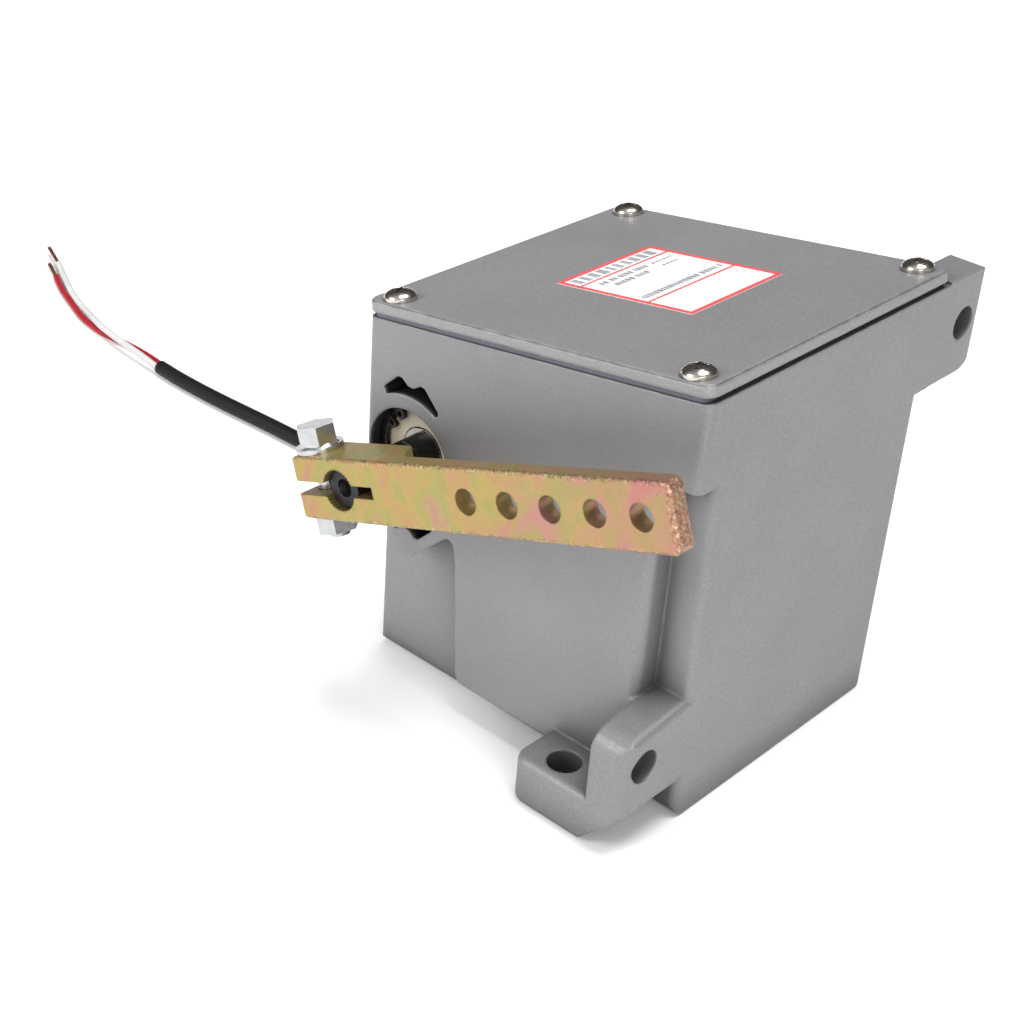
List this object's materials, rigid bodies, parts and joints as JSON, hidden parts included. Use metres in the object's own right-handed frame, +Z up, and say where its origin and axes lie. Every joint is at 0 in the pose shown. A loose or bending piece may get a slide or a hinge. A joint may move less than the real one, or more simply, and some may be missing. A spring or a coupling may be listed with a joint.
{
  "type": "rotary electric governor actuator",
  "caption": "Grey cast box actuator with an inclined screwed cover, mounting lugs, a drilled clamp lever that swings on a ball-bearing shaft, and a cable with bare wire ends.",
  "frame": {"origin": "middle of the housing's base face, level with the surface it stands on", "axes": "+X right along the lever side, +Y from the lever side to the back, +Z up"},
  "size_m": [0.3769, 0.1358, 0.1204],
  "materials": {
    "cast_grey": "satin grey paint on a fine cast skin",
    "gasket": "matte blue-grey",
    "nickel": "nickel plated, bright",
    "zinc": "bright zinc",
    "label": "white printed film",
    "bearing_steel": "ground and polished",
    "cage_brass": "pressed brass",
    "seal_cream": "cream moulded seal",
    "spring_black": "black phosphate",
    "shaft_black": "black oxide",
    "yellow_zinc": "yellow chromate over zinc, iridescent",
    "bright_steel": "ground",
    "laminated_steel": "stacked laminations, varnished",
    "coil_former": "ivory moulded",
    "coil_wire": "enamelled copper",
    "shim_brass": "rolled",
    "rubber_black": "matte",
    "terminal_plastic": "moulded",
    "gland_black": "moulded nylon",
    "jacket_black": "extruded PVC, satin",
    "wire_white": "extruded PVC",
    "wire_red": "extruded PVC",
    "copper": "bare stranded copper"
  },
  "bodies": {
    "root": {"housing": "cast_grey", "cover": "cast_grey", "cover_gasket": "gasket", "cover_screws": "nickel", "nameplate": "label", "front_bearing_outer_ring": "bearing_steel", "front_bearing_seal": "seal_cream", "front_snap_ring": "spring_black", "rear_bearing_outer_ring": "bearing_steel", "wave_washer": "bright_steel", "stator_core": "laminated_steel", "stator_screws": "spring_black", "coil_bobbin": "coil_former", "coil_winding": "coil_wire", "pole_shim": "shim_brass", "rest_bumper": "rubber_black", "return_spring": "bright_steel", "spring_anchor": "bright_steel", "terminal_block": "terminal_plastic", "cable_gland": "gland_black", "gland_nut": "gland_black", "cable_jacket": "jacket_black", "wire_white": "wire_white", "wire_red": "wire_red", "white_wire_strands": "copper", "red_wire_strands": "copper"},
    "shaft_assembly": {"output_shaft": "shaft_black", "lever": "yellow_zinc", "clamp_bolt": "zinc", "clamp_nut": "zinc", "armature": "laminated_steel", "armature_pin": "bright_steel", "front_bearing_inner_ring": "bearing_steel", "rear_bearing_inner_ring": "bearing_steel"},
    "front_balls": {"front_bearing_balls": "bearing_steel", "front_bearing_cage": "cage_brass"},
    "rear_balls": {"rear_bearing_balls": "bearing_steel", "rear_bearing_cage": "cage_brass"}
  },
  "joints": [
    {"name": "lever_swing", "type": "hinge", "parent": "root", "child": "shaft_assembly", "pos_m": [-0.0387, 0, 0.0655], "axis": [0, -1, 0], "range_deg": [0, 25], "stiffness_Nm_per_rad": 0.9, "springref_deg": -8.59},
    {"name": "front_balls_roll", "type": "hinge", "parent": "root", "child": "front_balls", "pos_m": [-0.0387, 0, 0.0655], "axis": [0, -1, 0], "range_deg": [0, 10]},
    {"name": "rear_balls_roll", "type": "hinge", "parent": "root", "child": "rear_balls", "pos_m": [-0.0387, 0, 0.0655], "axis": [0, -1, 0], "range_deg": [0, 10]}
  ],
  "couplings": [
    {"joint": "front_balls_roll", "follows": "lever_swing", "ratio": 0.3736},
    {"joint": "rear_balls_roll", "follows": "lever_swing", "ratio": 0.3736}
  ]
}
